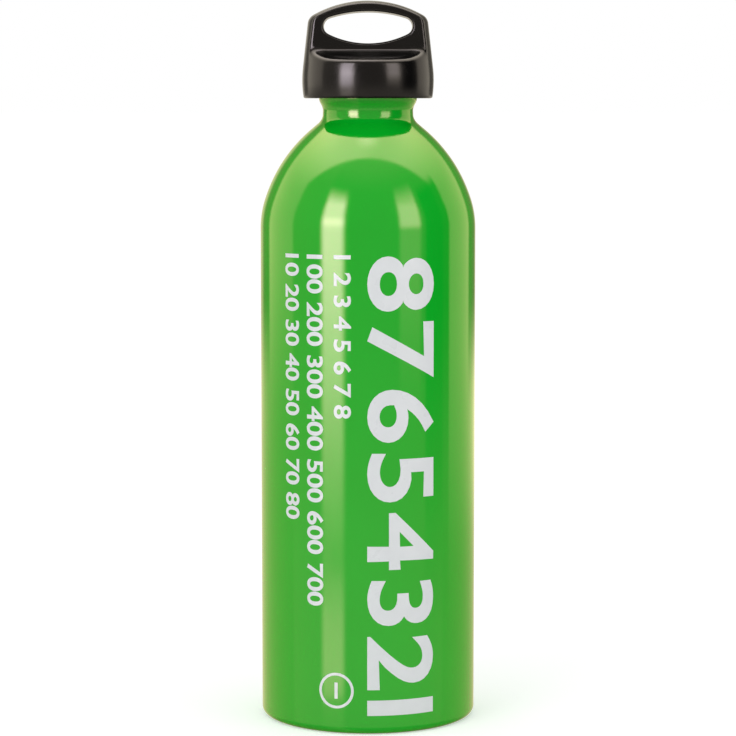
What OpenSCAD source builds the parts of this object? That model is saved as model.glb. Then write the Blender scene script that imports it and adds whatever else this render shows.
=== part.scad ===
// Camping fuel bottle, one litre, with a looped push-and-turn cap.
// Millimetres. Z is the bottle's axis, the foot stands on z = 0 and the grip loop faces -Y.

/* [Bottle] */
// Outside diameter of the barrel
body_d = 80; // [78:0.5:88]
// Height of the straight side, from the floor to the first shoulder arc
side_h = 183; // [90:1:260]
// Wall of the barrel and shoulder
wall = 1.0; // [0.8:0.1:1.5]
// Thickness of the base
base_t = 1.4; // [1:0.1:2]
// Outside radius where the side turns into the base
foot_corner = 3; // [2:0.25:4]
// Width of the flat ring that the bottle stands on
foot_w = 3; // [2:0.5:5]
// Depth of the domed recess under the base
recess = 4; // [2:0.5:7]

/* [Shoulder and neck] */
// Radius of the upper side's first arc
shoulder_r = 31.6; // [26:0.2:36]
// Angle that the first arc turns through
shoulder_a = 20; // [14:1:24]
// Radius of the flatter second arc
slope_r = 61.6; // [54:0.2:64]
// Slope of the cone under the neck, from upright
slope_a = 48.3; // [46:0.1:50]
// Outside diameter of the neck's waist
neck_d = 33.4; // [32.6:0.1:35]
// Radius of the fillet between cone and neck
neck_fillet = 4; // [2:0.5:5]
// Straight part of the waist
waist_h = 1.7; // [1:0.1:5]
// Outside diameter of the rolled collar round the mouth
collar_d = 36.4; // [35.6:0.1:37.6]
// Height of the S-shaped step from waist to collar
step_h = 5.2; // [4.5:0.1:8]
// Straight part of the collar, up to the rim
collar_h = 2.9; // [2:0.1:5]
// Rounding of the rim
rim_round = 0.6; // [0.3:0.1:0.8]
// Bore of the mouth
bore_d = 29.8; // [28.8:0.1:30.2]

/* [Seal] */
// Thickness of the ring's section before it is squeezed
seal_d = 3.0; // [2.6:0.1:3.2]
// Height of the squeezed ring
seal_h = 2.2; // [1.8:0.1:2.5]

/* [Stopper] */
// Gap round the threaded shank that the two threads share
thread_gap = 2.0; // [1.6:0.1:2.4]
// Lead of the thread, the rise in one turn
thread_lead = 4; // [3:0.5:5]
// Length of the shank below the flange
shank_h = 13.4; // [10:0.2:16]
// Wall of the hollow shank
shank_wall = 3.4; // [2.4:0.2:4]
// Floor of the spring well
well_floor = 3; // [2:0.25:4]
// Thickness of the flange
flange_t = 2.6; // [2:0.1:3.2]
// Gap between the flange's edge and the skirt
flange_gap = 0.6; // [0.4:0.1:0.8]

/* [Drive teeth] */
// Number of teeth in each crown
teeth = 12; // [8:4:12]
// Height of a tooth
tooth_h = 1.5; // [1.2:0.1:2]
// Width of a tooth at its root
tooth_w = 3.4; // [2.4:0.1:3.6]
// Slope of a tooth's flanks, from upright
tooth_a = 18; // [8:1:22]
// Inner diameter of the crowns
tooth_in_d = 28; // [26:0.5:30]
// Outer diameter of the crowns
tooth_out_d = 37; // [34:0.5:38]
// Gap between the two crowns while nobody presses
tooth_lift = 0.4; // [0.3:0.1:0.8]
// Gap left over each tooth when the cap is pressed home
tooth_rest = 0.3; // [0.3:0.05:0.5]

/* [Spring] */
// Mean diameter of the coil
coil_d = 14; // [12:0.2:15.2]
// Diameter of the wire
wire_d = 0.9; // [0.6:0.1:1.2]
// Number of coils
coils = 6; // [4:1:8]
// Gap at each end of the coil
coil_gap = 0.25; // [0.2:0.05:0.4]

/* [Cap] */
// Greatest diameter of the cap
cap_d = 48.7; // [48:0.1:52]
// Radius of the belly line of the skirt
belly_r = 40; // [34:1:60]
// Height of the belly above the skirt's lower edge
belly_h = 6.6; // [5:0.2:8]
// Angle from the belly up to where the straight taper starts
belly_a = 6.3; // [4:0.1:8]
// How far the skirt hangs below the flange
skirt_drop = 5.6; // [4.6:0.2:7]
// Inside diameter of the skirt
skirt_in_d = 43; // [42.6:0.1:43.6]
// Height of the whole cap, skirt edge to top of loop
cap_h = 35.9; // [34:0.1:44]
// Radius of the arch over the loop
arch_r = 41.5; // [36:0.5:60]
// Rounding where the arch meets the sides
arch_corner = 4; // [2.5:0.25:5]
// Rounding of the skirt's lower edge
edge_round = 0.5; // [0.3:0.1:0.8]
// How far the snap bead reaches under the flange
bead_catch = 0.8; // [0.5:0.1:1]
// Height of the snap bead
bead_h = 2; // [1.6:0.1:2.4]
// Gap between bead and flange while the spring is up
bead_gap = 0.2; // [0.2:0.05:0.3]

/* [Grip loop] */
// Thickness of the grip at its foot
grip_t = 18.8; // [16:0.2:22]
// Height of the fold where grip and scoop meet, above the skirt's edge
fold_h = 17.7; // [17:0.1:20]
// Slope of the scoop where it leaves the grip
scoop_a = 28; // [20:1:32]
// Radius of the hollow scoop
scoop_r = 30; // [26:1:60]
// Fillet in the fold
fold_fillet = 1.6; // [0.8:0.2:3]
// Rounding along the grip's upper edges
grip_round = 1.8; // [1:0.2:2.6]
// Depth of the chamfer on the grip's upright edges
grip_edge = 0.5; // [0.3:0.1:0.8]
// Height of the finger eye
eye_h = 12.4; // [10:0.2:14]
// Web of material left over the eye
eye_web = 3.4; // [3:0.1:4.5]
// Radius of the eye's upper line
eye_top_r = 36; // [30:1:50]
// Radius of the eye's lower line
eye_low_r = 33; // [28:1:45]
// Radius of the eye's two ends
eye_end_r = 3.3; // [2.5:0.1:4]
// Chamfer round the eye
eye_chamfer = 1; // [0.5:0.1:1.5]

/* [Hidden] */
$fn = 96;
far = 200;

green = [0.16, 0.62, 0.18];
black = [0.13, 0.13, 0.14];
rubber = [0.24, 0.24, 0.25];
steel = [0.72, 0.73, 0.75];
nylon = [0.30, 0.30, 0.32];

// Points on an arc round c, from angle a0 to a1.
function arc(c, r, a0, a1, n = 10) =
    [for (i = [0 : n]) c + r * [cos(a0 + (a1 - a0) * i / n), sin(a0 + (a1 - a0) * i / n)]];
function dir(a) = [cos(a), sin(a)];
function flip(p) = [for (i = [len(p) - 1 : -1 : 0]) p[i]];
function mirrored(p) = concat(p, [for (q = flip(p)) if (q.x > 0.001) [-q.x, q.y]]);

// Bottle outline: two arcs, a cone and a fillet, each tangent to the next.
body_r = body_d / 2;
neck_r = neck_d / 2;
collar_r = collar_d / 2;
bore_r = bore_d / 2;
arc1_c = [body_r - shoulder_r, side_h];
arc2_c = arc1_c + (shoulder_r - slope_r) * dir(shoulder_a);
cone_from = arc2_c + slope_r * dir(slope_a);
cone_run = (cone_from.x + neck_fillet * cos(slope_a) - neck_r - neck_fillet) / sin(slope_a);
fillet_c = cone_from + neck_fillet * dir(slope_a) + cone_run * [-sin(slope_a), cos(slope_a)];

// The step from waist to collar is two equal arcs.
step_out = collar_r - neck_r;
step_a = 2 * atan(step_out / step_h);
step_r = step_h / (2 * sin(step_a));
waist_z = fillet_c.y + waist_h;
rim_z = waist_z + step_h + collar_h;

// Inside of the bottle: the same outline drawn in by the wall, up to the bore.
in_cone = arc2_c + (slope_r - wall) * dir(slope_a);
bore_z = in_cone.y + (in_cone.x - bore_r) / tan(slope_a);
in_corner = foot_corner - wall;

// Recess under the base, a shallow dome inside the foot ring.
foot_in_r = body_r - foot_corner - foot_w;
dome_r = (foot_in_r * foot_in_r + recess * recess) / (2 * recess);
dome_c = [0, recess - dome_r];
dome_a = asin(foot_in_r / dome_r);
floor_a = acos((base_t - dome_c.y) / (dome_r + base_t));

// Closure, stacked on the rim.
seal_r = (bore_r + collar_r) / 2;
seal_flat = sqrt(seal_d * seal_d - seal_h * seal_h) / 2;
seal_a = asin(seal_h / seal_d);
flange_z = rim_z + seal_h;
crown_z = flange_z + flange_t;
shank_r = bore_r - thread_gap;
skirt_r = skirt_in_d / 2;
flange_r = skirt_r - flange_gap;
well_r = shank_r - shank_wall;
well_z = flange_z - shank_h + well_floor;
press = tooth_h + tooth_lift - tooth_rest;
ceiling_z = crown_z + 2 * tooth_h + tooth_lift;
tooth_in = tooth_in_d / 2;
tooth_out = tooth_out_d / 2;
boss_r = coil_d / 2 - wire_d / 2 - 1.2;

// Cap outline: belly arc, straight taper, rounded corner and the dome over the arch.
skirt_z = flange_z - skirt_drop;
cap_r = cap_d / 2;
top_z = skirt_z + cap_h;
belly_c = [cap_r - belly_r, skirt_z + belly_h];
taper_from = belly_c + belly_r * dir(belly_a);
arch_c = [0, top_z - arch_r];
corner_q = taper_from - arch_corner * dir(belly_a) - arch_c;
corner_d = corner_q * [-sin(belly_a), cos(belly_a)];
corner_s = sqrt(corner_d * corner_d - corner_q * corner_q + pow(arch_r - arch_corner, 2)) - corner_d;
corner_c = arch_c + corner_q + corner_s * [-sin(belly_a), cos(belly_a)];
corner_a = atan2(corner_c.y - arch_c.y, corner_c.x);
hem_a = asin((edge_round - belly_h) / (belly_r - edge_round));
hem_c = belly_c + (belly_r - edge_round) * dir(hem_a);

// Grip and scoops, seen from the side.
grip_y = grip_t / 2;
fold_z = skirt_z + fold_h;
scoop_c = [grip_y, fold_z] + scoop_r * [sin(scoop_a), cos(scoop_a)];
fold_y = grip_y + fold_fillet;
fold_cz = scoop_c.y - sqrt(pow(scoop_r - fold_fillet, 2) - pow(scoop_c.x - fold_y, 2));
fold_a = atan2(fold_cz - scoop_c.y, fold_y - scoop_c.x);

// Eye: two long arcs, with an end circle tangent to both.
eye_top = top_z - eye_web;
eye_low = eye_top - eye_h;
eye_up_c = eye_top - eye_top_r;
eye_dn_c = eye_low + eye_low_r;
eye_up = eye_top_r - eye_end_r;
eye_dn = eye_low_r - eye_end_r;
eye_z = (eye_up * eye_up - eye_dn * eye_dn - eye_up_c * eye_up_c + eye_dn_c * eye_dn_c)
    / (2 * (eye_dn_c - eye_up_c));
eye_x = sqrt(eye_up * eye_up - pow(eye_z - eye_up_c, 2));
eye_up_a = atan2(eye_z - eye_up_c, eye_x);
eye_dn_a = atan2(eye_z - eye_dn_c, eye_x);

// The bottle's whole wall in one section, from the foot up the outside and back down the inside.
wall_section = concat(
    arc([body_r - foot_corner, foot_corner], foot_corner, -90, 0, 6),
    arc(arc1_c, shoulder_r, 0, shoulder_a, 8),
    arc(arc2_c, slope_r, shoulder_a, slope_a, 12),
    arc(fillet_c, neck_fillet, 180 + slope_a, 180, 6),
    arc([neck_r + step_r, waist_z], step_r, 180, 180 - step_a, 5),
    arc([collar_r - step_r, waist_z + step_h], step_r, -step_a, 0, 5),
    arc([collar_r - rim_round, rim_z - rim_round], rim_round, 0, 90, 4),
    arc([bore_r + rim_round, rim_z - rim_round], rim_round, 90, 180, 4),
    [[bore_r, bore_z]],
    arc(arc2_c, slope_r - wall, slope_a, shoulder_a, 12),
    arc(arc1_c, shoulder_r - wall, shoulder_a, 0, 8),
    arc([body_r - wall - in_corner, base_t + in_corner], in_corner, 0, -90, 5),
    arc(dome_c, dome_r + base_t, 90 - floor_a, 90, 8),
    arc(dome_c, dome_r, 90, 90 - dome_a, 8)
);

module bottle_body() {
    color(green) rotate_extrude() polygon(wall_section);
}

// Ring of round section, squeezed flat between the rim and the flange.
module seal_ring() {
    color(rubber) translate([0, 0, rim_z + seal_h / 2]) rotate_extrude() polygon(concat(
        arc([seal_r, 0], seal_d / 2, -seal_a, seal_a, 10),
        arc([seal_r, 0], seal_d / 2, 180 - seal_a, 180 + seal_a, 10)
    ));
}

// One crown of trapezoid teeth, pointing up from z = 0 with their roots sunk in by 0.5.
module crown(turn) {
    tip = tooth_w / 2 - tooth_h * tan(tooth_a);
    for (i = [0 : teeth - 1]) rotate([0, 0, turn + i * 360 / teeth])
        translate([tooth_in, 0, 0]) rotate([90, 0, 90]) linear_extrude(tooth_out - tooth_in)
            polygon([[-tooth_w / 2, -0.5], [tooth_w / 2, -0.5], [tooth_w / 2, 0],
                [tip, tooth_h], [-tip, tooth_h], [-tooth_w / 2, 0]]);
}

// Threaded plug with a hollow shank, a flange over the seal and the lower crown.
module stopper() {
    low = flange_z - shank_h;
    color(nylon) {
        difference() {
            rotate_extrude() polygon([
                [0, low], [shank_r - 1, low], [shank_r, low + 1], [shank_r, flange_z],
                [flange_r - 0.4, flange_z], [flange_r, flange_z + 0.4],
                [flange_r, crown_z - 0.4], [flange_r - 0.4, crown_z], [0, crown_z]
            ]);
            translate([0, 0, well_z]) cylinder(h = far, r = well_r);
        }
        translate([0, 0, crown_z]) crown(0);
    }
}

// Compression spring: closed end coils, open ones between, wound as one tube of six sides.
module lock_spring() {
    low = well_z + coil_gap + wire_d / 2;
    rise = ceiling_z - well_z - 2 * coil_gap - wire_d;
    closed = wire_d * 1.1;
    steps = 16;
    last = coils * steps;
    function climb(t) = t < 1 ? closed * t
        : t > coils - 1 ? rise - closed * (coils - t)
        : closed + (rise - 2 * closed) * (t - 1) / (coils - 2);
    pts = [for (i = [0 : last]) let (t = i / steps, a = 360 * t)
        for (j = [0 : 5]) let (b = 60 * j, r = coil_d / 2 + wire_d / 2 * cos(b))
            [r * cos(a), r * sin(a), low + climb(t) + wire_d / 2 * sin(b)]];
    color(steel) polyhedron(pts, concat(
        [[for (j = [0 : 5]) j]],
        [for (i = [0 : last - 1], j = [0 : 5]) let (k = 6 * i, m = (j + 1) % 6)
            each [[k + j, k + 6 + j, k + m], [k + m, k + 6 + j, k + 6 + m]]],
        [[for (j = [5 : -1 : 0]) 6 * last + j]]
    ));
}

// Outside of the cap before the grip is cut: skirt, taper, corner and dome.
module cap_blank() {
    rotate_extrude() polygon(concat(
        [[0, skirt_z]],
        arc(hem_c, edge_round, -90, hem_a, 3),
        arc(belly_c, belly_r, hem_a, belly_a, 6),
        arc(corner_c, arch_corner, belly_a, corner_a, 6),
        arc(arch_c, arch_r, corner_a, 90, 9)
    ));
}

// Everything under the two scoops, drawn from the side and pushed across the cap.
module scoop_floor() {
    rotate([90, 0, 90]) linear_extrude(far, center = true) polygon(mirrored(concat(
        [[far, skirt_z - 1]],
        [[far, scoop_c.y - scoop_r]],
        arc(scoop_c, scoop_r, -90, fold_a, 8),
        arc([fold_y, fold_cz], fold_fillet, fold_a, -180, 5)
    )));
}

// Grip slab: a wheel on the arch's centre. Its faces are the grip's, and its rims round the arch.
module grip_slab() {
    y = grip_y - grip_round;
    c = [sqrt(pow(arch_r - grip_round + 0.1, 2) - y * y), y];
    a = atan2(c.y, c.x) + 12;
    half = concat([[arch_r + 1, c.y + grip_round * sin(a)]], arc(c, grip_round, a, 90, 4), [[0, grip_y]]);
    translate([0, 0, arch_c.y]) rotate([90, 0, 0]) rotate_extrude()
        polygon(concat([for (q = flip(half)) [q.x, -q.y]], half));
}

// Chamfers on the grip's four upright edges, leaning in with the taper.
module edge_cuts() {
    r = taper_from.x - (fold_z - taper_from.y) * tan(belly_a);
    x = sqrt(r * r - grip_y * grip_y);
    turn = (90 + atan2(grip_y, x)) / 2;
    lean = atan(cos(turn) * tan(belly_a) * r / x);
    for (i = [0, 1], j = [0, 1]) mirror([i, 0, 0]) mirror([0, j, 0])
        translate([x, grip_y, fold_z]) rotate([0, 0, turn]) rotate([0, -lean, 0])
            translate([-grip_edge, -10, fold_fillet]) cube([20, 20, 40]);
}

// Finger eye, drawn from the front; grow widens it for the chamfer.
module eye_outline(grow = 0) {
    polygon(mirrored(concat(
        arc([0, eye_dn_c], eye_low_r + grow, -90, eye_dn_a, 7),
        arc([eye_x, eye_z], eye_end_r + grow, eye_dn_a, eye_up_a, 8),
        arc([0, eye_up_c], eye_top_r + grow, eye_up_a, 90, 7)
    )));
}

module eye() {
    rotate([90, 0, 0]) linear_extrude(far, center = true) eye_outline();
    for (s = [0, 180]) rotate([0, 0, s]) hull() {
        translate([0, eye_chamfer - grip_y, 0]) rotate([90, 0, 0]) linear_extrude(0.01) eye_outline();
        translate([0, -grip_y - 1, 0]) rotate([90, 0, 0]) linear_extrude(0.01)
            eye_outline(eye_chamfer + 1);
    }
}

// Outer shell: skirt, snap bead, upper crown, spring boss and the grip loop in one moulding.
module cap_shell() {
    bead_top = flange_z - bead_gap;
    bead_r = flange_r - bead_catch;
    color(black) {
        difference() {
            intersection() {
                cap_blank();
                union() {
                    scoop_floor();
                    grip_slab();
                }
            }
            rotate_extrude() polygon([
                [0, skirt_z - 1], [skirt_r + 0.5, skirt_z - 1], [skirt_r + 0.5, skirt_z],
                [skirt_r, skirt_z + 0.5], [skirt_r, bead_top - bead_h],
                [bead_r, bead_top - bead_h / 2], [bead_r, bead_top - 0.3],
                [skirt_r, bead_top], [skirt_r, ceiling_z], [0, ceiling_z]
            ]);
            eye();
            edge_cuts();
        }
        translate([0, 0, ceiling_z]) mirror([0, 0, 1]) crown(180 / teeth);
        translate([0, 0, ceiling_z - 2.5]) cylinder(h = 3, r = boss_r);
    }
}

bottle_body();
seal_ring();
stopper();
lock_spring();
cap_shell();
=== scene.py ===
# %% [markdown]
# # A painted camping fuel bottle with a looped cap
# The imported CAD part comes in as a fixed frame. Its five solids say where everything is.
# Blender gives the bottle, the cap and the spring finer surfaces, adds threads and print, and lights the scene
# like a product photograph.

from math import acos, asin, atan, atan2, cos, degrees, dist, hypot, pi, radians, sin, tan

import bpy
import numpy as np
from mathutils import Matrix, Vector


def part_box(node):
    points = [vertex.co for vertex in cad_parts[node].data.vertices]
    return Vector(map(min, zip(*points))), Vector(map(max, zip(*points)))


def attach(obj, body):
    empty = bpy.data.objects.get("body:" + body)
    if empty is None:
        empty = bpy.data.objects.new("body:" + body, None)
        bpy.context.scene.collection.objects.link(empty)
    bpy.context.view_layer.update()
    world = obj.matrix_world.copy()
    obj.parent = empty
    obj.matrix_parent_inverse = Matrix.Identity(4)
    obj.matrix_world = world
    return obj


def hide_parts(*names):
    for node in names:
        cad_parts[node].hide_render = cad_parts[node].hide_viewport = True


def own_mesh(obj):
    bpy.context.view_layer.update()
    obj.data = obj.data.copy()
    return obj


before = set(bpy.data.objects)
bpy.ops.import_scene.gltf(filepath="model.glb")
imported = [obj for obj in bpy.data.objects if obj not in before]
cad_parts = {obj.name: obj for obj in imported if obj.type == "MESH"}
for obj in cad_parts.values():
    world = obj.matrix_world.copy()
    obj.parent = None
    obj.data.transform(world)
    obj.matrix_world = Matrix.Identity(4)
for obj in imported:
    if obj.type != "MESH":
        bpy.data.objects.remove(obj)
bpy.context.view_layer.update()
print("CAD nodes:", sorted(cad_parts))

# %% [markdown]
# ## The maker's measures
# The numbers are the millimetres of the CAD source, so each Blender piece lies exactly on its solid.
# A turned outline is written as points (radius, height), and its curves are arcs sampled by one small helper.

# %% Measures in millimetres
MM = 0.001
BODY_R, SIDE_H, WALL = 40.0, 183.0, 1.0
WAIST_Z, RIM_Z, BORE_R, COLLAR_R = 226.224, 234.324, 14.9, 18.2
FLANGE_Z, CEILING_Z = 236.524, 242.524
SKIRT_Z, TOP_Z, SKIRT_R = 230.924, 266.824, 21.5


def arc(cx, cz, r, a0, a1, n):
    """Points of an arc round (cx, cz), both ends included, angles in degrees."""
    angles = [radians(a0 + (a1 - a0) * i / n) for i in range(n + 1)]
    return [(cx + r * cos(a), cz + r * sin(a)) for a in angles]


# %% [markdown]
# ## Helpers for modelling by hand
# An operator acts on whatever is selected, so each step first selects one piece alone.
# Lathe work is the main job here. A single vertex is extruded along the outline, then spun round the axis,
# as a potter or a metal spinner would make it.

# %% Selecting, drawing and closing
def pick(*objs):
    """Selects these objects and nothing else, the first one active."""
    bpy.ops.object.select_all(action="DESELECT")
    for o in objs:
        o.select_set(True)
    bpy.context.view_layer.objects.active = objs[0]


def named(name):
    """Names the object that an operator has just added, and its mesh."""
    obj = bpy.context.object
    obj.name = obj.data.name = name
    return obj


def draw(name, points):
    """A chain of edges through points (x, y, z), from one extruded vertex. It stays in edit mode."""
    bpy.ops.object.select_all(action="DESELECT")
    bpy.ops.mesh.primitive_plane_add(size=MM, location=[c * MM for c in points[0]])
    obj = named(name)
    bpy.ops.object.mode_set(mode="EDIT")
    bpy.ops.mesh.merge(type="CENTER")
    for here, there in zip(points, points[1:]):
        step = [(b - a) * MM for a, b in zip(here, there)]
        bpy.ops.mesh.extrude_region_move(TRANSFORM_OT_translate={"value": step})
    return obj


def upright(points, across=0.0):
    """Stands an outline of (x, z) in the plane y = across."""
    return [(x, across, z) for x, z in points]


def weld(doubles=1e-6):
    """In edit mode: selects everything and merges the points that coincide."""
    bpy.ops.mesh.select_all(action="SELECT")
    bpy.ops.mesh.remove_doubles(threshold=doubles)


def face_out():
    """Turns every face outwards and leaves edit mode."""
    bpy.ops.mesh.select_all(action="SELECT")
    bpy.ops.mesh.normals_make_consistent(inside=False)
    bpy.ops.object.mode_set(mode="OBJECT")


def settle(obj):
    """Puts a finished piece's place into its mesh and leaves its object at the origin."""
    pick(obj)
    bpy.ops.object.transform_apply(location=True, rotation=True, scale=True)
    return obj


# %% [markdown]
# The lathe is the Spin operator. Its first and last copies of the outline coincide, so they are welded, and then the
# faces are turned outwards, because a spin can come out inside out.

# %% Turning on the lathe
def lathe(name, points, steps=192):
    """Spins an outline of (radius, height) round the axis into a closed solid."""
    obj = draw(name, upright(points))
    bpy.ops.mesh.select_all(action="SELECT")
    bpy.ops.mesh.spin(steps=steps, angle=2 * pi, center=(0, 0, 0), axis=(0, 0, 1))
    weld()
    face_out()
    return settle(obj)


def size_of(obj):
    co = np.array([v.co for v in obj.data.vertices]) / MM
    (x0, _, z0), (x1, _, z1) = co.min(0), co.max(0)
    return f"{obj.name}: {len(obj.data.polygons)} faces, x {x0:.1f} to {x1:.1f}, z {z0:.1f} to {z1:.1f} mm"


# %% [markdown]
# ## The bottle
# The real one is drawn from a single slug of aluminium, necked in by spinning, then sprayed.
# Sculpting or a subdivided cylinder could give the form, but a turned thing is truest when its outline is turned.
# The outside starts at the middle of the domed base, runs out over the foot, up the side and over the rolled rim.
# The inside comes back down the bore and the wall. The outside lies 0.06 mm inside the CAD solid, which leaves room
# for the printed ink.

# %% Draw the bottle's outline
INK = 0.06
DOME_Z, DOME_R, DOME_EDGE, FOOT_R = -142.5, 146.5, 34, 3
LOW, LOW_R, TURN = (8.4, SIDE_H), 31.6, 20
HIGH, HIGH_R, MEET = (8.4 - 30 * cos(radians(TURN)), SIDE_H - 30 * sin(radians(TURN))), 61.6, 48.3
NECK, NECK_R = (20.7, 224.524), 4
WAIST_R, BEND_R, BEND, BEND_H = 16.7, 4.88167, 32.1816, 5.2
LIP_R, BORE_Z = 0.6, 222.995
BASE_T, CORNER, CORNER_R = 1.4, (37, 3.4), 2
outside = (
    arc(0, DOME_Z, DOME_R, 90, 90 - degrees(asin(DOME_EDGE / DOME_R)), 10)
    + arc(BODY_R - FOOT_R - INK, FOOT_R, FOOT_R, -90, 0, 8)
    + [(BODY_R - INK, z) for z in (30, 60, 90, 120, 150)]
    + arc(*LOW, LOW_R - INK, 0, TURN, 12)
    + arc(*HIGH, HIGH_R - INK, TURN, MEET, 24)
    + arc(*NECK, NECK_R + INK, 180 + MEET, 180, 12)
    + arc(WAIST_R + BEND_R, WAIST_Z, BEND_R, 180, 180 - BEND, 8)
    + arc(COLLAR_R - BEND_R, WAIST_Z + BEND_H, BEND_R, -BEND, 0, 8)
    + arc(COLLAR_R - LIP_R, RIM_Z - LIP_R, LIP_R, 0, 90, 5)
)
inside = (
    arc(BORE_R + LIP_R, RIM_Z - LIP_R, LIP_R, 90, 180, 5)
    + [(BORE_R, BORE_Z)]
    + arc(*HIGH, HIGH_R - WALL, MEET, TURN, 12)
    + arc(*LOW, LOW_R - WALL, TURN, 0, 8)
    + arc(*CORNER, CORNER_R, 0, -90, 6)
    + arc(0, DOME_Z, DOME_R + BASE_T, 90 - degrees(acos((BASE_T - DOME_Z) / (DOME_R + BASE_T))), 90, 10)
)
print(len(outside), "points outside,", len(inside), "inside")

# %% [markdown]
# The photograph shows a slightly fuller shoulder than the CAD solid has, by up to 0.9 mm. The swelling starts and
# ends softly, so that no edge shows in the gloss.

# %% Turn the bottle
SWELL, SWELL_RISE, SWELL_TOP, SWELL_FALL = 0.9, 33, 219.5, 7
TOUCH = 0.002


def swell(z):
    """How much fuller the painted shoulder is at height z."""
    rise = min(max((z - SIDE_H) / SWELL_RISE, 0), 1)
    fall = min(max((z - SWELL_TOP) / SWELL_FALL, 0), 1)
    return SWELL * sin(pi / 2 * rise) ** 2 * cos(pi / 2 * fall) ** 2


outline = [(r + swell(z), z) for r, z in outside] + inside
outline = [p for i, p in enumerate(outline) if i == 0 or dist(p, outline[i - 1]) > TOUCH]
bottle = lathe("painted_bottle", [(max(r, 0), z) for r, z in outline], steps=224)
bpy.ops.object.shade_smooth_by_angle(angle=radians(35))
print(size_of(bottle))

# %% [markdown]
# ## The cap's outer shell
# The real shell is one injection moulding: a turned body with two hollow scoops that leave a grip, and a finger eye
# through the grip.
# It is made in the same order: turn the body, keep what lies under the scoops or inside the grip's wheel, then cut
# the hollow, the eye and the soft edges.
# Booleans cut these forms cleanly where they meet along curves that nobody could extrude.

# %% Turn the cap's body
HEM, HEM_R, HEM_A = (23.3761, 231.424), 0.5, -8.884
BELLY, BELLY_R, TAPER = (-15.65, 237.524), 40, 6.3
BROW, BROW_R, BROW_A = (18.3021, 258.054), 4, 60.787
CROWN_R = 41.5
cap_line = (
    [(0, SKIRT_Z)]
    + arc(*HEM, HEM_R, -90, HEM_A, 5)
    + arc(*BELLY, BELLY_R, HEM_A, TAPER, 14)
    + arc(*BROW, BROW_R, TAPER, BROW_A, 12)
    + arc(0, TOP_Z - CROWN_R, CROWN_R, BROW_A, 90, 20)
)
cap = lathe("moulded_cap", cap_line, steps=256)
print(size_of(cap))

# %% [markdown]
# The grip will have four upright edges with a wide shallow face towards the front, as the mould has.
# They are slanted now, while the body is still a plain turned form: a box made by hand leans with the taper and cuts
# each place twice, first from the side and then nearer the front.

# %% Slant the places of the upright edges
GRIP_HALF = 9.4
EDGE_X, EDGE_Z, EDGE_BOX = 22.35, 249.3, (8, 24, 26)
EDGE_CUTS = ((71, 0.62), (38, 0.75))
lean = atan(tan(radians(TAPER)) * 0.92)


def cut(obj, tool, how="DIFFERENCE"):
    """Cuts, joins or intersects obj with a tool, then throws the tool away."""
    pick(obj)
    mod = obj.modifiers.new("cut", "BOOLEAN")
    mod.operation, mod.object, mod.solver = how, tool, "EXACT"
    bpy.ops.object.modifier_apply(modifier=mod.name)
    bpy.data.objects.remove(tool)


for mx, my in ((1, 1), (-1, 1), (1, -1), (-1, -1)):
    for turn, depth in EDGE_CUTS:
        bpy.ops.object.select_all(action="DESELECT")
        bpy.ops.mesh.primitive_cube_add(size=1, location=(0, 0, 0))
        box = named("edge_cut")
        bpy.ops.object.mode_set(mode="EDIT")
        bpy.ops.mesh.select_all(action="SELECT")
        bpy.ops.transform.translate(value=(0.5, 0, 0.5))
        bpy.ops.transform.resize(value=[side * MM for side in EDGE_BOX], center_override=(0, 0, 0))
        bpy.ops.object.mode_set(mode="OBJECT")
        nx, ny = mx * cos(radians(turn)), my * sin(radians(turn))
        box.rotation_euler = (0, -lean * abs(nx), atan2(ny, nx))
        box.location = ((mx * EDGE_X - depth * nx) * MM, (my * GRIP_HALF - depth * ny) * MM, EDGE_Z * MM)
        cut(cap, settle(box))
print(size_of(cap))

# %% [markdown]
# The scoops' floor is a line drawn from the side and pushed across the cap.
# Drawing that line and its mirror image as one closed outline, then filling and extruding it, is what anyone would
# do by hand.

# %% Make the block that lies under the scoops
SCOOP, SCOOP_R, FOLD, FOLD_R, FOLD_A, FOLD_TOP = (23.4841, 275.112), 30, (11.0, 249.603), 1.6, -116.077, 258
REACH = 40


def plate(name, points, start, depth):
    """Fills a closed outline at y = start and pushes it along y. It stays in edit mode, the far side selected."""
    obj = draw(name, upright(points, start))
    weld()
    bpy.ops.mesh.select_all(action="SELECT")
    bpy.ops.mesh.edge_face_add()
    bpy.ops.mesh.extrude_region_move(TRANSFORM_OT_translate={"value": (0, depth * MM, 0)})
    return obj


def prism(name, points, half):
    """A closed outline pushed across y from -half to +half."""
    obj = plate(name, points, -half, 2 * half)
    face_out()
    return settle(obj)


def mirrored(points):
    return points + [(-x, z) for x, z in reversed(points) if x > 0.001]


side_line = (
    [(REACH, SKIRT_Z - 1), (REACH, SCOOP[1] - SCOOP_R)]
    + arc(*SCOOP, SCOOP_R, -90, FOLD_A, 20)
    + arc(*FOLD, FOLD_R, FOLD_A, -180, 8)
    + [(GRIP_HALF, FOLD_TOP)]
)
under_scoops = prism("under_scoops", mirrored(side_line), REACH)
under_scoops.rotation_euler = (0, 0, pi / 2)
settle(under_scoops)
print(size_of(under_scoops))

# %% [markdown]
# The grip is a wheel lying round the cross axis, with rounded edges. It is joined to the block, and the cap keeps
# only what lies inside the two.

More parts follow.
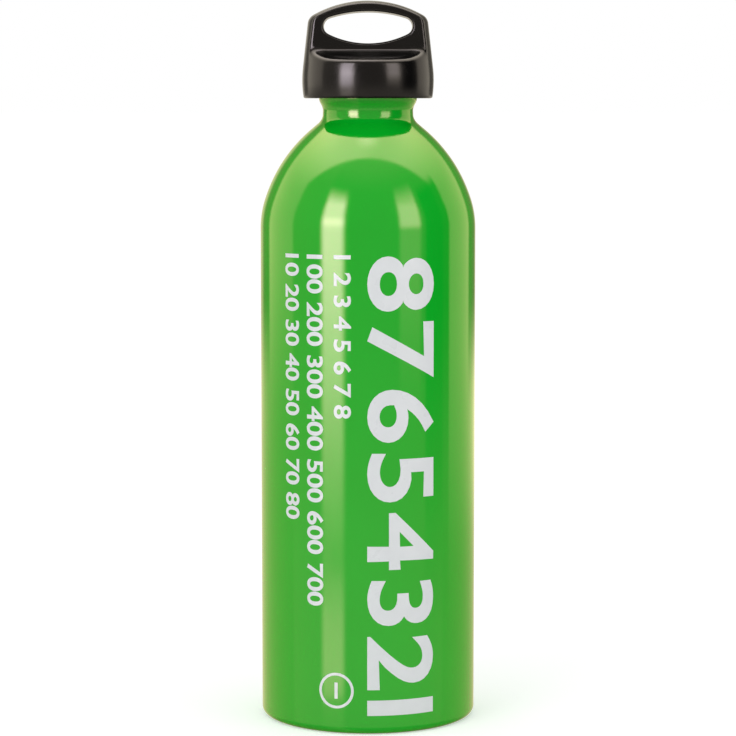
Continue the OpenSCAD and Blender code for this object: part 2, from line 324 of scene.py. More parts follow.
# %% Cut the grip and the scoops
WHEEL_EDGE, WHEEL_EDGE_R = (39.5, 8.2), 1.2
wheel_line = [(0, GRIP_HALF)] + arc(*WHEEL_EDGE, WHEEL_EDGE_R, 90, 10, 8) + [(42.5, 8.3)]
wheel_line += [(r, -y) for r, y in reversed(wheel_line)]
wheel = lathe("grip_wheel", wheel_line, steps=256)
wheel.rotation_euler = (pi / 2, 0, 0)
wheel.location = (0, 0, (TOP_Z - CROWN_R) * MM)
settle(wheel)
cut(under_scoops, wheel, "UNION")
cut(cap, under_scoops, "INTERSECT")
print(size_of(cap))

# %% [markdown]
# The hollow of the skirt is turned, with a small snap bead near its edge that holds the shell on the stopper.

# %% Cut the hollow
bead_top, bead_r = FLANGE_Z - 0.2, SKIRT_R - 1.4
hollow_line = [
    (0, SKIRT_Z - 1), (SKIRT_R + 0.5, SKIRT_Z - 1), (SKIRT_R + 0.5, SKIRT_Z), (SKIRT_R, SKIRT_Z + 0.5),
    (SKIRT_R, bead_top - 2), (bead_r, bead_top - 1), (bead_r, bead_top - 0.3), (SKIRT_R, bead_top),
    (SKIRT_R, CEILING_Z), (0, CEILING_Z),
]
cut(cap, lathe("hollow", hollow_line, steps=256))
print(size_of(cap))

# %% [markdown]
# The eye is two long arcs and two small ends, drawn from the front and pushed through.
# A real mould leaves soft edges, so a second, wider cut from each face makes the eye's lower side slope a little.
# That cut grows away from a height just under the eye's top. Exactly at the top, two faces would lie in one plane,
# and a boolean can't tell which of them to keep.

# %% Cut the eye
EYE_FLOOR, EYE_FLOOR_R, FLOOR_A = (0, 284.024), 33, -63.79
EYE_END, EYE_END_R = (13.1174, 257.378), 3.3
EYE_ROOF, EYE_ROOF_R, ROOF_A = (0, 215.18), 47.49, 72.73
EYE_HALF_W, FLARE_H, FLARE_Z, FLARE_FROM, FLARE_DEEP = 16.4, 6.7, 262.2, 8.3, 3
eye_line = mirrored(
    arc(*EYE_FLOOR, EYE_FLOOR_R, -90, FLOOR_A, 20)
    + arc(*EYE_END, EYE_END_R, FLOOR_A, ROOF_A, 16)
    + arc(*EYE_ROOF, EYE_ROOF_R, ROOF_A, 90, 20)
)
cut(cap, prism("eye", eye_line, 30))
for side in (-1, 1):
    flare = plate("eye_flare", eye_line, side * FLARE_FROM, side * FLARE_DEEP)
    wider = (1 + 1 / EYE_HALF_W, 1, 1 + 1 / FLARE_H)
    bpy.ops.transform.resize(value=wider, center_override=(0, 0, FLARE_Z * MM))
    face_out()
    cut(cap, settle(flare))
print(size_of(cap))

# %% [markdown]
# Inside, twelve teeth hang from the ceiling. They engage the stopper's teeth when the shell is pressed down.
# One tooth is a block with its tip drawn in, copied eleven times round the axis.

# %% Add the inner teeth
TEETH, TOOTH_R, TOOTH_LONG, TOOTH_WIDE, TOOTH_H, SUNK, FLANK = 12, 16.25, 4.5, 3.4, 1.5, 0.5, 18
bpy.ops.object.select_all(action="DESELECT")
bpy.ops.mesh.primitive_cube_add(size=1, location=(0, 0, 0))
tooth = named("drive_tooth")
bpy.ops.object.mode_set(mode="EDIT")
bpy.ops.mesh.select_all(action="SELECT")
block = (TOOTH_LONG * MM, TOOTH_WIDE * MM, (TOOTH_H + SUNK) * MM)
bpy.ops.transform.resize(value=block, center_override=(0, 0, 0))
bpy.ops.object.mode_set(mode="OBJECT")
for face in tooth.data.polygons:
    face.select = face.normal.z < -0.9
bpy.ops.object.mode_set(mode="EDIT")
bpy.ops.transform.resize(value=(1, 1 - 2 * TOOTH_H * tan(radians(FLANK)) / TOOTH_WIDE, 1))
bpy.ops.object.mode_set(mode="OBJECT")
tooth.location = (TOOTH_R * MM, 0, (CEILING_Z - (TOOTH_H - SUNK) / 2) * MM)
settle(tooth)
tooth.rotation_euler = (0, 0, radians(180 / TEETH))
settle(tooth)
teeth = [tooth]
for i in range(1, TEETH):
    pick(tooth)
    bpy.ops.object.duplicate()
    copy = bpy.context.object
    copy.rotation_euler = (0, 0, radians(360 / TEETH * i))
    teeth.append(settle(copy))
pick(*teeth)
bpy.ops.object.join()
cut(cap, bpy.context.object, "UNION")
print(len(teeth), "teeth,", size_of(cap))

# %% [markdown]
# A short boss in the middle of the ceiling keeps the spring's top in its place.

# %% Add the spring boss
boss_line = [(0, -2.5), (5.05, -2.5), (5.35, -2.2), (5.35, 0.5), (0, 0.5)]
cut(cap, lathe("boss", [(r, CEILING_Z + z) for r, z in boss_line], 64), "UNION")
print(size_of(cap))

# %% [markdown]
# Moulded plastic has no knife edge. A fine voxel remesh turns the cut body into one even skin, and a Smooth modifier
# melts its edges.
# A vertex group says how much: most along the rims of the two scoops, where the real moulding is rounded by two
# millimetres, and little inside.

# %% Remesh the cap and find its rims
VOXEL = 0.39
TAPER_R, TAPER_Z = 24.1084, 241.913
SKIN_Z, RIM_REACH, RIM_FADE, FAR = 233, 5.4, 2.5, 9
pick(cap)
mod = cap.modifiers.new("skin", "REMESH")
mod.mode, mod.voxel_size, mod.use_smooth_shade = "VOXEL", VOXEL * MM, True
bpy.ops.object.modifier_apply(modifier=mod.name)

co = np.empty(len(cap.data.vertices) * 3)
cap.data.vertices.foreach_get("co", co)
x, y, z = co.reshape(-1, 3).T / MM
radius = np.hypot(x, y)
belly_r = BELLY[0] + np.sqrt(BELLY_R ** 2 - (z - BELLY[1]) ** 2)
shell_r = np.where(z < TAPER_Z, belly_r, TAPER_R - (z - TAPER_Z) * tan(radians(TAPER)))
floor_z = SCOOP[1] - np.sqrt(np.clip(SCOOP_R ** 2 - (np.abs(y) - SCOOP[0]) ** 2, 1, None))
to_rim = np.hypot(radius - shell_r, np.where(np.abs(y) > GRIP_HALF, z - floor_z, FAR))
outer = (z > CEILING_Z + 1.5) | (radius > SKIRT_R + 0.7)
rim_weight = np.where(outer, np.clip((RIM_REACH - to_rim) / RIM_FADE, 0, 1), 0)
skin_weight = np.where(outer & (z > SKIN_Z), 1.0, 0.15)
print(size_of(cap), "of them near a rim:", int((rim_weight > 0).sum()))

# %% [markdown]
# The whole skin gets a few light rounds of smoothing, and the rims get many.
# A vertex group takes one weight for a whole list of points, so the weights are rounded to tenths first.

# %% Melt the edges
for name, weight, factor, rounds in (("skin", skin_weight, 0.6, 7), ("rim", rim_weight, 0.8, 80)):
    group = cap.vertex_groups.new(name=name)
    tenths = np.round(weight, 1)
    for level in np.unique(tenths):
        if level > 0:
            group.add(np.nonzero(tenths == level)[0].tolist(), float(level), "REPLACE")
    mod = cap.modifiers.new(name, "SMOOTH")
    mod.factor, mod.iterations, mod.vertex_group = factor, rounds, name
    bpy.ops.object.modifier_apply(modifier=mod.name)
cap.vertex_groups.clear()
bpy.ops.object.shade_smooth()
print(size_of(cap))

# %% [markdown]
# ## The two threads
# The stopper holds by a right-hand thread of 4 mm lead. The collision solids leave it out, so Blender adds both
# halves: a ridge round the stopper's shank and one inside the neck.
# A Screw modifier sweeps a small outline round and up at the same time, which is what a thread is.

# %% Sweep the threads
LEAD, STEPS_A_TURN = 4.0, 64
NECK_FROM_SHANK = 28.0


def thread(name, section, z, turns, start=0.0):
    """Sweeps a section of (radius, height) up a right-hand helix that starts at height z and angle start."""
    loop = section + section[:1]
    obj = draw(name, upright([(r, z + h) for r, h in loop]))
    weld()
    bpy.ops.object.mode_set(mode="OBJECT")
    settle(obj)
    mod = obj.modifiers.new("sweep", "SCREW")
    mod.axis, mod.angle, mod.screw_offset = "Z", 2 * pi * turns, LEAD * MM * turns
    mod.steps = mod.render_steps = int(STEPS_A_TURN * turns)
    mod.use_merge_vertices = False
    bpy.ops.object.modifier_apply(modifier=mod.name)
    bpy.ops.object.mode_set(mode="EDIT")
    bpy.ops.mesh.select_all(action="SELECT")
    bpy.ops.mesh.fill_holes(sides=0)
    face_out()
    bpy.ops.object.shade_smooth_by_angle(angle=radians(35))
    obj.rotation_euler = (0, 0, radians(start))
    settle(obj)
    print(size_of(obj))
    return obj


half_ridge = [(12.7, -1.05), (13.6, -0.72), (14.35, -0.45), (14.5, -0.2)]
ridge = half_ridge + [(r, -h) for r, h in reversed(half_ridge)]
stopper_thread = thread("stopper_thread", ridge, 225.1, 2.1)
neck_thread = thread("neck_thread", [(NECK_FROM_SHANK - r, h) for r, h in ridge], 224.6, 1.95, start=135)

# %% [markdown]
# ## The spring
# The shell is pressed down against a coil spring. The CAD solid of the spring is stiff and six-sided, so Blender
# winds a round wire.
# One vertex is extruded along the coil, the chain is turned into a curve with a round bevel, and that becomes a mesh
# again. The end coils lie closed, as on a real spring.

# %% Wind the spring
coil_low, coil_high = (Vector(c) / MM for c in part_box("lock_spring"))
WIRE, COILS, STEPS = 0.9, 6, 40
wind_r, first, rise = coil_high.x - WIRE / 2, coil_low.z + WIRE / 2, coil_high.z - coil_low.z - WIRE
end_rise = 1.1 * WIRE


def climb(turn):
    """Height of the wire above its start after so many turns: slow in the closed end coils."""
    if turn < 1:
        return end_rise * turn
    if turn > COILS - 1:
        return rise - end_rise * (COILS - turn)
    return end_rise + (rise - 2 * end_rise) * (turn - 1) / (COILS - 2)


def on_coil(step):
    turn = step / STEPS
    return wind_r * cos(2 * pi * turn), wind_r * sin(2 * pi * turn), first + climb(turn)


coil = draw("coil_spring", [on_coil(step) for step in range(COILS * STEPS + 1)])
bpy.ops.object.mode_set(mode="OBJECT")
settle(coil)
bpy.ops.object.convert(target="CURVE")
coil = bpy.context.object
coil.data.bevel_depth, coil.data.bevel_resolution, coil.data.use_fill_caps = WIRE / 2 * MM, 3, True
bpy.ops.object.convert(target="MESH")
coil = settle(bpy.context.object)
bpy.ops.object.mode_set(mode="EDIT")
weld()
face_out()
bpy.ops.object.shade_smooth_by_angle(angle=radians(40))
print(size_of(coil), "CAD z", round(coil_low.z, 2), "to", round(coil_high.z, 2))

# %% [markdown]
# ## The white print
# The real bottle is screen-printed in white along its side. Here the print is only plain numbers: eight large
# figures, three rows of small ones, and a ringed 1 for the one-litre size.
# Each word is typed as a text object, made a mesh, thickened, laid out flat, cut into narrow strips by bisecting, and
# bent round the bottle by a Simple Deform modifier.
# An image texture would be quicker, but real letters stay sharp at any distance.

# %% Type a figure and stretch it to size
INK_T = 0.09


def typed(text, left, right, bottom, top, weight):
    """A flat text mesh, reading downwards. It fills left..right along the girth and bottom..top in height, in mm."""
    bpy.ops.object.select_all(action="DESELECT")
    bpy.ops.object.text_add(location=(0, 0, 0))
    obj = bpy.context.object
    obj.name = "print_" + text.replace(" ", "_")
    obj.data.body = text
    obj.data.size, obj.data.extrude, obj.data.resolution_u = 1.0, 0.5, 6
    bpy.ops.object.convert(target="MESH")
    bpy.ops.object.mode_set(mode="EDIT")
    weld(1e-5)
    bpy.ops.transform.shrink_fatten(value=weight, use_even_offset=True)
    bpy.ops.object.mode_set(mode="OBJECT")
    co = np.array([v.co for v in obj.data.vertices])
    lo, hi = co.min(0), co.max(0)
    bpy.ops.object.mode_set(mode="EDIT")
    bpy.ops.mesh.select_all(action="SELECT")
    bpy.ops.transform.translate(value=(-(lo[0] + hi[0]) / 2, -(lo[1] + hi[1]) / 2, 0))
    stretch = ((top - bottom) / (hi[0] - lo[0]) * MM, (right - left) / (hi[1] - lo[1]) * MM, INK_T * MM)
    bpy.ops.transform.resize(value=stretch, center_override=(0, 0, 0))
    bpy.ops.object.mode_set(mode="OBJECT")
    obj.rotation_euler = (pi / 2, pi / 2, 0)
    obj.location = ((left + right) / 2 * MM, 0, (bottom + top) / 2 * MM)
    return settle(obj)


def girth(angle):
    """Millimetres round the bottle's side for an angle in degrees, to the right of the front."""
    return radians(angle) * BODY_R


# %% [markdown]
# The eight large figures share one width scale, so the 1 stays as narrow as it is in the typeface.
# The three rows beside them are smaller and end at different heights.

# %% Lay out the large figures and the rows
LARGE_LEFT, LARGE_RIGHT, LARGE_TOP, LARGE_LOW, GAP = -0.4, 36.4, 174.6, 7.2, 3.9
BOLD, HEAVY = 0.018, 0.022
ROW_TOP = 175
widths = (0.472, 0.486, 0.457, 0.424, 0.496, 0.396, 0.468, 0.134)
unit = (LARGE_TOP - LARGE_LOW - 7 * GAP) / sum(widths)
flat, top = [], LARGE_TOP
for figure, width in zip("87654321", widths):
    flat.append(typed(figure, girth(LARGE_LEFT), girth(LARGE_RIGHT), top - width * unit, top, BOLD))
    top -= width * unit + GAP
for text, left, right, bottom in (
    ("10 20 30 40 50 60 70 80", -48.6, -38.5, 78),
    ("100 200 300 400 500 600 700", -33.7, -23.9, 47),
    ("1 2 3 4 5 6 7 8", -18.1, -8.7, 116),
):
    flat.append(typed(text, girth(left), girth(right), bottom, ROW_TOP, HEAVY))
print(len(flat), "lines of figures")

# %% [markdown]
# Near the foot stands a ringed 1. The ring is a circle whose face is inset and removed, then thickened.

# %% Add the ringed 1
RING_A, RING_Z, RING_R, RING_T = -16.9, 16.2, 6.6, 1.0
ring_place = (girth(RING_A) * MM, 0, RING_Z * MM)
one = typed("1", -3, 3, -0.6, 0.6, BOLD)
one.rotation_euler = (0, -pi / 2, 0)
settle(one)
one.location = ring_place
flat.append(settle(one))
bpy.ops.object.select_all(action="DESELECT")
bpy.ops.mesh.primitive_circle_add(
    vertices=96, radius=RING_R * MM, fill_type="NGON", location=ring_place, rotation=(pi / 2, 0, 0))
ring = named("print_ring")
bpy.ops.object.mode_set(mode="EDIT")
bpy.ops.mesh.inset(thickness=RING_T * MM)
bpy.ops.mesh.delete(type="FACE")
bpy.ops.mesh.select_all(action="SELECT")
bpy.ops.mesh.extrude_region_move(TRANSFORM_OT_translate={"value": (0, INK_T * MM, 0)})
bpy.ops.mesh.select_all(action="SELECT")
bpy.ops.transform.translate(value=(0, -INK_T / 2 * MM, 0))
face_out()
flat.append(settle(ring))
print(len(flat), "flat pieces of print")

# %% [markdown]
# A straight face can't follow a round bottle, so the print is cut every millimetre of girth before it is bent.
# The cuts stand a hair beside whole millimetres, where no edge of a figure lies.

# %% Cut into strips and wrap round the bottle
PRINT_R = BODY_R - 0.055
pick(*flat)
bpy.ops.object.join()
ink_print = named("white_print")
bpy.ops.object.mode_set(mode="EDIT")
for step in range(-34, 27):
    bpy.ops.mesh.select_all(action="SELECT")
    bpy.ops.mesh.bisect(plane_co=((step + 0.013) * MM, 0, 0), plane_no=(1, 0, 0))
bpy.ops.object.mode_set(mode="OBJECT")
xs = [v.co.x for v in ink_print.data.vertices]
pick(ink_print)
mod = ink_print.modifiers.new("wrap", "SIMPLE_DEFORM")
mod.deform_method, mod.deform_axis = "BEND", "Z"
mod.angle = (max(xs) - min(xs)) / (PRINT_R * MM)
bpy.ops.object.modifier_apply(modifier=mod.name)
ink_print.location = (0, -PRINT_R * MM, 0)
settle(ink_print)
bpy.ops.object.shade_smooth_by_angle(angle=radians(30))
print_r = [hypot(v.co.x, v.co.y) / MM for v in ink_print.data.vertices]
print(size_of(ink_print), f"radius {min(print_r):.3f} to {max(print_r):.3f}")

# %% [markdown]
# ## Materials
# Every finish is built from nodes on Object coordinates, so a pattern keeps its real size and stays put on its piece.
# A small class keeps the cells short: it makes a material with its Principled shader and adds nodes by name.

# %% A material workbench
class Finish:
    def __init__(self, name):
        self.mat = bpy.data.materials.new(name)
        self.mat.use_nodes = True
        self.tree = self.mat.node_tree
        self.shader = self.tree.nodes["Principled BSDF"]
        self.place = self.add("ShaderNodeTexCoord").outputs["Object"]

    def add(self, kind, **settings):
        """Adds a node. A setting is one of its options, or else one of its input sockets."""
        node = self.tree.nodes.new(kind)
        for key, value in settings.items():
            if hasattr(node, key):
                setattr(node, key, value)
            else:
                self.put(value, node.inputs[key.replace("_", " ")])
        return node

    def put(self, value, socket):
        """Links a node's output to a socket, or types a constant into it."""
        if isinstance(value, bpy.types.NodeSocket):
            self.tree.links.new(value, socket)
        else:
            socket.default_value = value

    def set(self, **values):
        """Fills sockets of the shader."""
        for key, value in values.items():
            self.put(value, self.shader.inputs[key.replace("_", " ")])

    def noise(self, scale, detail=2.0, stretch=(1, 1, 1)):
        """Cloudy noise between 0 and 1; scale is blobs per metre."""
        spread = self.add("ShaderNodeMapping", Vector=self.place, Scale=stretch)
        return self.add("ShaderNodeTexNoise", Vector=spread.outputs[0], Scale=scale, Detail=detail).outputs["Fac"]

    def remap(self, value, a, b, lo, hi):
        """Maps a..b to lo..hi and stops there."""
        node = self.add("ShaderNodeMapRange", Value=value)
        for socket, number in zip(("From Min", "From Max", "To Min", "To Max"), (a, b, lo, hi)):
            node.inputs[socket].default_value = number
        return node.outputs["Result"]

    def mix(self, factor, a, b):
        """Mixes two colours."""
        node = self.add("ShaderNodeMix", data_type="RGBA")
        for socket, value in ((0, factor), (6, a), (7, b)):
            self.put(value, node.inputs[socket])
        return node.outputs[2]

    def bump(self, height, strength, distance):
        """Raises the surface by a pattern; distance is in metres."""
        node = self.add("ShaderNodeBump", Height=height, Strength=strength, Distance=distance)
        self.put(node.outputs[0], self.shader.inputs["Normal"])


def give(obj, *finishes):
    """Puts the finishes into the object's material slots, in order."""
    obj.data.materials.clear()
    for finish in finishes:
        obj.data.materials.append(finish.mat)
    print(obj.name, "wears", [f.mat.name for f in finishes])


# %% [markdown]
# The paint is a glossy spray coat over aluminium. Its green drifts very slightly over the side, the surface has a
# faint orange peel, and handling leaves fine dull smears.
# Its highlights look warm, more so towards the edges. The clear coat is therefore tinted faintly yellow: light that
# passes it at a slant crosses more lacquer and takes more of the tint.

# %% Green paint
paint = Finish("green_paint")
smears = paint.noise(90, 6, (1, 1, 0.4))
paint.set(
    Base_Color=paint.mix(paint.noise(28, 3), (0.0005, 0.405, 0.030, 1), (0.002, 0.445, 0.040, 1)),
    Roughness=paint.remap(smears, 0.35, 0.75, 0.07, 0.12),
    IOR=1.5, Specular_IOR_Level=0.67, Specular_Tint=(1.0, 0.76, 1.0, 1),
    Coat_Weight=1.0, Coat_IOR=1.12, Coat_Roughness=0.03, Coat_Tint=(1.0, 0.98, 0.60, 1),
)
paint.bump(paint.noise(700, 2), 0.12, 0.00002)
print(paint.mat.name, len(paint.tree.nodes), "nodes")

# %% [markdown]
# Inside and on the rim the aluminium is bare, with the fine rings that the spinning tool leaves. The noise is
# squeezed along the height and drawn out round the bottle, so its blobs become rings.

# %% Bare aluminium
metal = Finish("bare_aluminium")
rings = metal.noise(500, 3, (0.05, 0.05, 6))
metal.set(
    Base_Color=metal.mix(metal.noise(60, 4), (0.72, 0.73, 0.74, 1), (0.80, 0.81, 0.82, 1)),
    Roughness=metal.remap(rings, 0.3, 0.7, 0.28, 0.42),
    Metallic=1.0,
)
metal.bump(rings, 0.2, 0.00003)
print(metal.mat.name, len(metal.tree.nodes), "nodes")

# %% [markdown]
# The other pieces are plain stuffs: moulded plastic, rubber, wire and ink. Each drifts between two near colours and
# two roughnesses, and has a fine grain of its own size, so one recipe makes them all.

# %% A recipe for plain stuffs
def stuff(name, colours, blotch, roughness, rubs, grain, strength, distance, **more):
    """A finish from two colours and two roughnesses. blotch, rubs and grain are (scale, detail) of a noise."""
    finish = Finish(name)
    finish.set(
        Base_Color=finish.mix(finish.noise(*blotch), *colours),
        Roughness=finish.remap(finish.noise(*rubs), 0.3, 0.7, *roughness),
        **more,
    )
    finish.bump(finish.noise(*grain), strength, distance)
    print(name, len(finish.tree.nodes), "nodes")
    return finish


# %% [markdown]
# The cap is black plastic with a fine satin grain from the mould's eroded surface, and a few paler rubs.
# Hidden under it are a dark nylon stopper, a rubber ring and a drawn steel spring. The print is thick white ink.

# %% Plastic, nylon, rubber, spring steel and ink
plastic = stuff(
    "black_satin_plastic", ((0.0012, 0.0012, 0.0013, 1), (0.0028, 0.0028, 0.0030, 1)), (120, 5),
    (0.15, 0.21), (160, 6), (3500, 2), 0.12, 0.00002,
    IOR=1.5, Specular_IOR_Level=0.40, Specular_Tint=(0.90, 0.85, 0.88, 1))
nylon = stuff(
    "grey_nylon", ((0.055, 0.056, 0.060, 1), (0.075, 0.076, 0.080, 1)), (90, 4),
    (0.42, 0.55), (200, 4), (2500, 2), 0.15, 0.00003)
rubber = stuff(
    "black_rubber", ((0.020, 0.020, 0.021, 1), (0.035, 0.034, 0.033, 1)), (140, 5),
    (0.6, 0.8), (300, 4), (1800, 3), 0.2, 0.00004)
steel = stuff(
    "drawn_spring_steel", ((0.50, 0.50, 0.51, 1), (0.62, 0.62, 0.62, 1)), (200, 3),
    (0.2, 0.34), (900, 4), (3000, 2), 0.1, 0.00002, Metallic=1.0)
ink = stuff(
    "white_ink", ((0.70, 0.72, 0.74, 1), (0.76, 0.78, 0.80, 1)), (220, 4),
    (0.25, 0.38), (150, 4), (1500, 3), 0.08, 0.00002)

# %% [markdown]
# The seal and the stopper keep their CAD mesh, which is right as it is, and get a finish. The bottle wears two:
# the paint, and the bare metal for the next step.

# %% Dress every piece
give(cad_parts["seal_ring"], rubber)
give(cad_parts["stopper"], nylon)
give(ink_print, ink)
give(neck_thread, metal)
give(coil, steel)
give(stopper_thread, nylon)
give(bottle, paint, metal)
give(cap, plastic)

# %% [markdown]
# The bottle's inner faces are found by place and normal: on the rim, or above the base and either facing the axis or
# looking up from the inner floor. They are then assigned to the second slot, as by hand.

# %% Bare the inside of the bottle
RIM_BAND, HAIR, FLOOR_TOP = 0.35, 0.01, 8
pick(bottle)
bpy.ops.object.mode_set(mode="EDIT")
bpy.ops.mesh.select_all(action="DESELECT")
bpy.ops.object.mode_set(mode="OBJECT")
for face in bottle.data.polygons:
    c, n = face.center / MM, face.normal
    off_axis = hypot(c.x, c.y)
    inward = n.x * c.x + n.y * c.y < -0.02 * off_axis
    on_floor = n.z > 0.2 and c.z < FLOOR_TOP and off_axis < BODY_R - WALL - HAIR
    face.select = c.z > RIM_Z - RIM_BAND or (c.z > BASE_T - HAIR and (inward or on_floor))
bpy.ops.object.mode_set(mode="EDIT")
bottle.active_material_index = 1
bpy.ops.object.material_slot_assign()
bpy.ops.object.mode_set(mode="OBJECT")
print("bare faces:", sum(f.material_index == 1 for f in bottle.data.polygons))

# %% [markdown]
# ## The studio
# The photograph is a product shot: a white tent behind and overhead, a darker room in front, two narrow strip
# lights, and dark cards at the sides that draw the outline.
# Planes with light on them could stand in for these, but near planes also show at odd places in the lower half.
# Painting them on the world, as in a studio panorama, keeps them far away.
# A world has no mesh, so its picture is computed from the direction of each ray by small sums of nodes.

# %% Nodes that reckon for the world
world = bpy.data.worlds.new("white_studio")
bpy.context.scene.world = world
world.use_nodes = True
sky = world.node_tree
sky.nodes.clear()


def feed(item, socket):
    """Links an output to a socket, or types a number into it."""
    if isinstance(item, bpy.types.NodeSocket):
        sky.links.new(item, socket)
    else:
        socket.default_value = item


def maths(how, a, b=0.0):
    node = sky.nodes.new("ShaderNodeMath")
    node.operation = how
    feed(a, node.inputs[0])
    feed(b, node.inputs[1])
    return node.outputs[0]


def chained(how, values):
    total = values[0]
    for value in values[1:]:
        total = maths(how, total, value)
    return total


def add(*values):
    return chained("ADD", values)


def times(*values):
    return chained("MULTIPLY", values)


def without(value):
    """What is left of 1."""
    return maths("SUBTRACT", 1.0, value)


def ease(value, a, b, lo=0.0, hi=1.0, way="SMOOTHSTEP"):
    """A soft step: lo before a, hi after b. With way LINEAR it is a plain ramp."""
    node = sky.nodes.new("ShaderNodeMapRange")
    node.interpolation_type = way
    feed(value, node.inputs[0])
    for i, number in enumerate((a, b, lo, hi)):
        node.inputs[i + 1].default_value = number
    return node.outputs[0]


def band(value, a, b, soft):
    """1 between a and b, with soft sides."""
    return times(ease(value, a - soft, a + soft), ease(value, b - soft, b + soft, 1, 0))


# %% [markdown]
# Seen from the bottle, dx points right, dy away from the camera and dz up. A heading goes round the horizon, with 0
# towards the camera and 90 to the right, and a height goes from the horizon up. Both are in degrees.

# %% Directions
look = sky.nodes.new("ShaderNodeTexCoord").outputs["Generated"]
split = sky.nodes.new("ShaderNodeSeparateXYZ")
sky.links.new(look, split.inputs[0])
dx, dy, dz = split.outputs
heading = times(maths("ARCTAN2", dx, times(dy, -1.0)), 180 / pi)
height = times(maths("ARCSINE", dz), 180 / pi)
print("world nodes for directions:", len(sky.nodes))

# %% [markdown]
# The room in front is dim. It is a little lighter near the floor, under the ceiling and on the left, and it fades
# towards the ground.
# The tent behind is bright from the horizon up and brightest overhead, a little weaker on the right, where it has one
# low bright band. It reaches forward overhead, as a canopy does.

# %% The room and the tent
room_low = ease(height, -12, -3, 0.87, 0.42)
room_ceiling = ease(height, 38, 66, 0, 0.55)
room_left = times(band(heading, -100, -50, 6), 0.2)
room = times(add(room_low, room_ceiling, room_left), ease(height, -36, -16, 0.35, 1))

right_half = ease(dx, -0.2, 0.2)
tent_wall = ease(height, -7.5, -2, 0.82, 1.8)
tent_roof = ease(height, 24, 62, 0, 3.4)
tent_top = ease(height, 76, 90, 0, 3)
low_band = times(right_half, band(height, -8.5, -4.5, 1.5), 0.5)
tent = times(
    add(tent_wall, tent_roof, tent_top, low_band),
    ease(dx, -0.2, 0.2, 1.0, 0.85),
    ease(height, -36, -16, 0.4, 1))

canopy = maths("MAXIMUM", times(add(dz, -0.57), 0.8), 0.0)
behind = ease(add(dy, canopy), -0.09, 0.0)
print("world nodes with room and tent:", len(sky.nodes))

# %% [markdown]
# A shiny bottle on white would lose its outline, so dark cards stand where its very edges look: a tall one behind it
# and one to the right. They darken the tent but don't quite black it out.

# %% The dark cards
edge_look = add(dy, ease(dx, -0.1, 0.1, 0.0, -0.07))
back_card = times(ease(edge_look, 0.62, 0.70), ease(dz, -0.12, -0.07), ease(height, 33, 40, 1, 0))
back_dark = ease(edge_look, 0.85, 0.93, 0.85, 0.55)
tent = times(tent, without(times(back_card, back_dark)))
right_card = times(band(heading, 64, 97, 2), band(height, -8, 36, 4), 0.93)
studio = add(times(room, without(behind)), times(tent, behind))
studio = times(studio, without(right_card))
print("world nodes with cards:", len(sky.nodes))

# %% [markdown]
# Two strip lights draw the long highlights down both sides. The left one grows from its foot, has a brighter stretch
# a little above the horizon and a low lamp under it. The right one is weaker and starts higher.

# %% The strip lights
left_strip = ease(height, -9.6, -2.5, 0.3, 10.6, "LINEAR")
left_bright = times(band(height, 5, 13, 4), 4.4)
left_low = times(band(height, -16, -10.4, 0.6), 2.8)
left_level = times(add(left_strip, left_bright, left_low), ease(height, 28, 43, 1, 0))
right_strip = add(ease(height, -7, -3, 0, 1.2), ease(height, -1.5, 7, 0, 4.2))
right_level = times(right_strip, ease(height, 24, 45, 1, 0))
level = add(studio, times(band(heading, -50, -26, 4), left_level), times(band(heading, 34, 58, 3), right_level))
print("world nodes with strips:", len(sky.nodes))

# %% [markdown]
# Only glossy rays see this painted studio. Everything matt is lit by an even white sky, and the camera sees plain
# white, also through glass.
# Bright lights are nearly white, and dimmer parts of the studio are warmer.

# %% Who sees what
SKY_LEVEL = 0.82
WHITE, BRIGHT, DIM = (1, 1, 1, 1), (1.0, 0.93, 0.96, 1), (1.0, 0.92, 0.76, 1)


def blend_colours(factor, a, b):
    """A colour mix in the world, from a at 0 to b at 1."""
    node = sky.nodes.new("ShaderNodeMix")
    node.data_type = "RGBA"
    for socket, item in ((0, factor), (6, a), (7, b)):
        feed(item, node.inputs[socket])
    return node.outputs[2]


rays = sky.nodes.new("ShaderNodeLightPath").outputs
seen = maths("MINIMUM", add(rays["Is Camera Ray"], rays["Is Transmission Ray"]), 1.0)
gloss = rays["Is Glossy Ray"]
rest = without(maths("MINIMUM", add(seen, gloss), 1.0))
background = sky.nodes.new("ShaderNodeBackground")
feed(add(seen, times(gloss, level), times(rest, SKY_LEVEL)), background.inputs["Strength"])
feed(blend_colours(gloss, WHITE, blend_colours(ease(level, 3, 9, 1, 0), BRIGHT, DIM)), background.inputs["Color"])
feed(background.outputs[0], sky.nodes.new("ShaderNodeOutputWorld").inputs["Surface"])
print("world nodes:", len(sky.nodes))

# %% [markdown]
# Two wide lamps shape the matt surfaces a little, the left one stronger, as in the photograph. They are left out of
# reflections, which the painted studio already gives.

# %% Two soft lamps
MIDDLE = Vector((0, 0, 0.13))
for name, place, watts, size in (("key_lamp", (-0.9, -1.1, 1.0), 5.0, 0.8), ("fill_lamp", (1.1, -0.8, 0.7), 2.0, 0.9)):
    bpy.ops.object.select_all(action="DESELECT")
    bpy.ops.object.light_add(type="AREA", location=place)
    lamp = bpy.context.object
    lamp.name, lamp.data.energy, lamp.data.size = name, watts, size
    lamp.rotation_euler = (Vector(place) - MIDDLE).to_track_quat("Z", "Y").to_euler()
    lamp.visible_camera = lamp.visible_glossy = False
    print(name, watts, "W")

# %% [markdown]
# The floor is matt and pale. For the camera it gets the small amount of light that makes open floor white like the
# backdrop, so only the bottle's soft shadow shows on it.

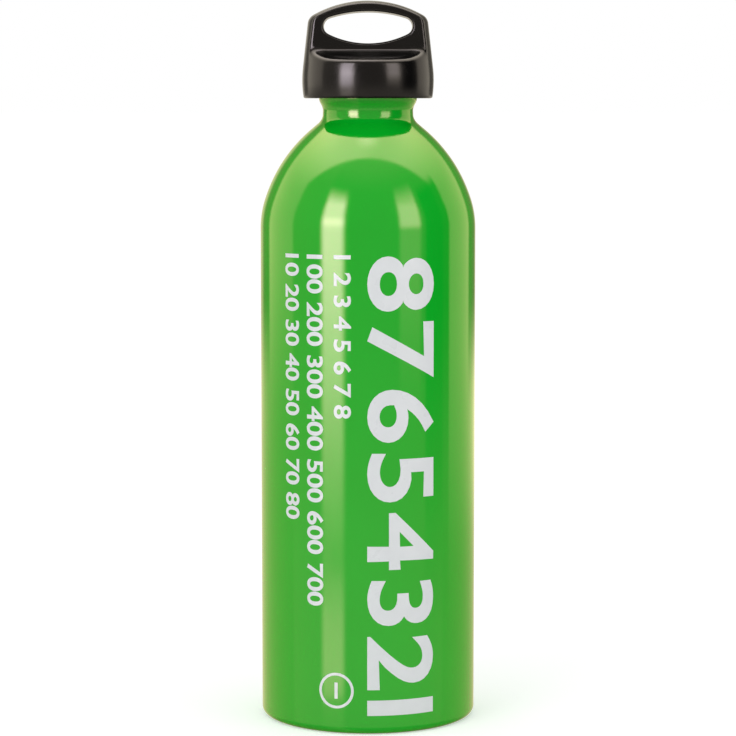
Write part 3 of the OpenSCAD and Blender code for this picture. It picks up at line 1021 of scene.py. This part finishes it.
# %% Floor
FLOOR_GLOW = 0.36
bpy.ops.object.select_all(action="DESELECT")
bpy.ops.mesh.primitive_plane_add(size=80, location=(0, 0, 0))
floor = named("floor")
floor.visible_glossy = False
pale = Finish("pale_floor")
to_camera = pale.add("ShaderNodeLightPath").outputs["Is Camera Ray"]
pale.set(
    Base_Color=pale.mix(pale.noise(3, 2), (0.80, 0.80, 0.80, 1), (0.81, 0.81, 0.81, 1)),
    Roughness=0.9, Specular_IOR_Level=0.0,
    Emission_Color=(1, 1, 1, 1), Emission_Strength=pale.remap(to_camera, 0, 1, 0, FLOOR_GLOW),
)
give(floor, pale)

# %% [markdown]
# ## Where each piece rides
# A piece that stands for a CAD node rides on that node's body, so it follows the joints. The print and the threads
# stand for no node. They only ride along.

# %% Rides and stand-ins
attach(bottle, "bottle")
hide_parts("bottle_body")
for piece, body, slot in (
    (ink_print, "bottle", "painted_aluminium"),
    (neck_thread, "bottle", "painted_aluminium"),
    (stopper_thread, "stopper", "stopper_nylon"),
):
    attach(piece, body)
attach(cap, "shell")
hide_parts("cap_shell")
print("riding:", [piece.name for piece in (bottle, ink_print, neck_thread, stopper_thread, cap)])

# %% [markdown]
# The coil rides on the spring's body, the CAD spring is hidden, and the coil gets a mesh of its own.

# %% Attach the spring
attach(coil, "spring")
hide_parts("lock_spring")
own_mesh(coil)
print("spring", round(coil_high.z - coil_low.z, 2), "mm long at rest")

# %% [markdown]
# ## The camera
# The photograph looks at the bottle from one metre, just under the height of its mouth, tilted a little down.

# %% Camera
CAMERA_Z, TILT, SENSOR, LENS = 0.231, 0.1005, 36, 131.35
bpy.ops.object.select_all(action="DESELECT")
bpy.ops.object.camera_add(location=(0, -1.0, CAMERA_Z), rotation=(pi / 2 - atan(TILT), 0, 0))
camera = bpy.context.object
camera.data.sensor_width, camera.data.lens = SENSOR, LENS
bpy.context.scene.camera = camera
bpy.context.scene.view_settings.view_transform = "Standard"
print("camera", round(degrees(atan(TILT)), 2), "degrees down")
